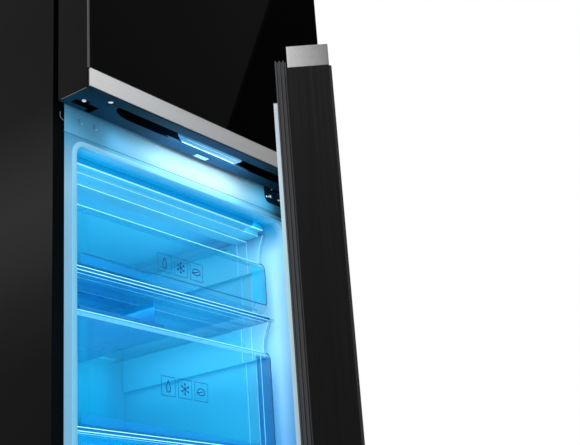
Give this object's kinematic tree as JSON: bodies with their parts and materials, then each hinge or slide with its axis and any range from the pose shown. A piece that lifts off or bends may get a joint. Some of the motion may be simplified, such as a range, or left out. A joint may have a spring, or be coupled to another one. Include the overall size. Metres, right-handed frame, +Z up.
{
  "type": "fridge freezer",
  "caption": "Tall free-standing fridge freezer with black glass doors, silver trims, a handle recess under the upper door and clear freezer drawers behind a part-open lower door.",
  "frame": {"origin": "middle of the whole part's footprint on the floor, measured with the freezer door standing open as in the picture", "axes": "+Z up, the doors face -Y, the hinges are on the +X side"},
  "size_m": [0.6166, 0.9762, 2.01],
  "materials": {
    "cabinet_paint": "satin dark grey paint",
    "dark_brushed": "dark steel brushed along the door's height",
    "black_glass": "opaque black glass, polished",
    "silver_trim": "fine brushed silver",
    "door_cap": "dark grey moulded",
    "liner_white": "smooth white moulded",
    "drawer_clear": "clear moulded, tinted by the blue light",
    "shelf_glass": "clear toughened glass",
    "trim_white": "glossy white trim",
    "ice_grey": "smooth moulded",
    "foam": "porous cream foam",
    "gasket_grey": "soft dark grey ribbed",
    "gasket_inner": "soft grey ribbed",
    "zinc_steel": "bright zinc",
    "hinge_black": "gloss black paint",
    "machine_black": "black enamel",
    "coil_dark": "dark painted fins and tubes",
    "coil_bright": "bare fins and tubes",
    "rear_steel": "grey coated sheet",
    "lamp_clear": "frosted clear lens",
    "inlet_black": "black moulded",
    "foot_grey": "dark grey moulded",
    "fan_grey": "light grey moulded",
    "tray_plastic": "pale grey moulded"
  },
  "bodies": {
    "cabinet": {"outer_shell": "cabinet_paint", "rear_panel": "rear_steel", "base_tray": "rear_steel", "insulation_foam": "foam", "fridge_liner": "liner_white", "freezer_liner": "liner_white", "crossbar_cover": "liner_white", "hole_plugs": "trim_white", "top_hinge": "zinc_steel", "middle_hinge": "hinge_black", "bottom_hinge": "hinge_black", "hinge_pins": "zinc_steel", "hinge_screws": "zinc_steel", "hinge_cover": "door_cap", "compressor": "machine_black", "condenser": "coil_dark", "drip_tray": "tray_plastic", "bay_cover": "rear_steel", "power_inlet": "inlet_black", "evaporator": "coil_bright", "evaporator_cover": "liner_white", "fridge_air_duct": "liner_white", "fridge_lamp": "lamp_clear", "fridge_shelf_lower": "shelf_glass", "fridge_shelf_middle": "shelf_glass", "fridge_shelf_upper": "shelf_glass", "crisper_drawer": "drawer_clear", "freezer_shelf_upper": "shelf_glass", "freezer_shelf_lower": "shelf_glass", "freezer_shelf_trims": "trim_white", "freezer_top_trim": "trim_white", "ice_maker": "ice_grey"},
    "upper_door": {"fridge_door_glass": "black_glass", "fridge_door_frame": "dark_brushed", "fridge_door_strip": "silver_trim", "fridge_door_bottom_cap": "door_cap", "fridge_door_top_cap": "door_cap", "fridge_door_foam": "foam", "fridge_door_liner": "liner_white", "fridge_door_gasket": "gasket_grey", "grip_lamp_lens": "lamp_clear", "grip_window": "lamp_clear", "door_bin_lower": "drawer_clear", "door_bin_middle": "drawer_clear", "door_bin_upper": "drawer_clear"},
    "lower_door": {"freezer_door_glass": "black_glass", "freezer_door_frame": "dark_brushed", "freezer_door_rail": "silver_trim", "freezer_door_foam": "foam", "freezer_door_liner": "liner_white", "freezer_door_gasket": "gasket_inner"},
    "drawer_top": {"freezer_drawer_upper": "drawer_clear"},
    "drawer_mid": {"freezer_drawer_middle": "drawer_clear"},
    "drawer_low": {"freezer_drawer_lower": "drawer_clear"},
    "cold_fan": {"evaporator_fan": "fan_grey"},
    "warm_fan": {"condenser_fan": "fan_grey"},
    "roller_left": {"rear_roller_left": "foot_grey"},
    "roller_right": {"rear_roller_right": "foot_grey"},
    "foot_left": {"front_foot_left": "foot_grey"},
    "foot_right": {"front_foot_right": "foot_grey"}
  },
  "joints": [
    {"name": "fridge_door_hinge", "type": "hinge", "parent": "cabinet", "child": "upper_door", "pos_m": [0.26669, -0.1169, 1.37], "axis": [0, 0, 1], "range_deg": [0, 110]},
    {"name": "freezer_door_hinge", "type": "hinge", "parent": "cabinet", "child": "lower_door", "pos_m": [0.26669, -0.1169, 0.4], "axis": [0, 0, 1], "range_deg": [-35.7, 74.3]},
    {"name": "top_drawer_slide", "type": "slide", "parent": "cabinet", "child": "drawer_top", "axis": [0, -1, 0], "range_m": [0, 0.05]},
    {"name": "middle_drawer_slide", "type": "slide", "parent": "cabinet", "child": "drawer_mid", "axis": [0, -1, 0], "range_m": [0, 0.05]},
    {"name": "low_drawer_slide", "type": "slide", "parent": "cabinet", "child": "drawer_low", "axis": [0, -1, 0], "range_m": [0, 0.05]},
    {"name": "cold_fan_shaft", "type": "hinge", "parent": "cabinet", "child": "cold_fan", "pos_m": [-0.01081, 0.3631, 0.6], "axis": [0, 1, 0], "continuous": true},
    {"name": "warm_fan_shaft", "type": "hinge", "parent": "cabinet", "child": "warm_fan", "pos_m": [-0.07681, 0.3731, 0.1212], "axis": [1, 0, 0], "continuous": true},
    {"name": "left_roller_axle", "type": "hinge", "parent": "cabinet", "child": "roller_left", "pos_m": [-0.25131, 0.4281, 0.015], "axis": [1, 0, 0], "continuous": true},
    {"name": "right_roller_axle", "type": "hinge", "parent": "cabinet", "child": "roller_right", "pos_m": [0.22969, 0.4281, 0.015], "axis": [1, 0, 0], "continuous": true},
    {"name": "left_foot_thread", "type": "hinge", "parent": "cabinet", "child": "foot_left", "pos_m": [-0.26031, -0.0519, 0.02], "axis": [0, 0, 1], "range_deg": [-180, 180]},
    {"name": "right_foot_thread", "type": "hinge", "parent": "cabinet", "child": "foot_right", "pos_m": [0.23869, -0.0519, 0.02], "axis": [0, 0, 1], "range_deg": [-180, 180]}
  ]
}
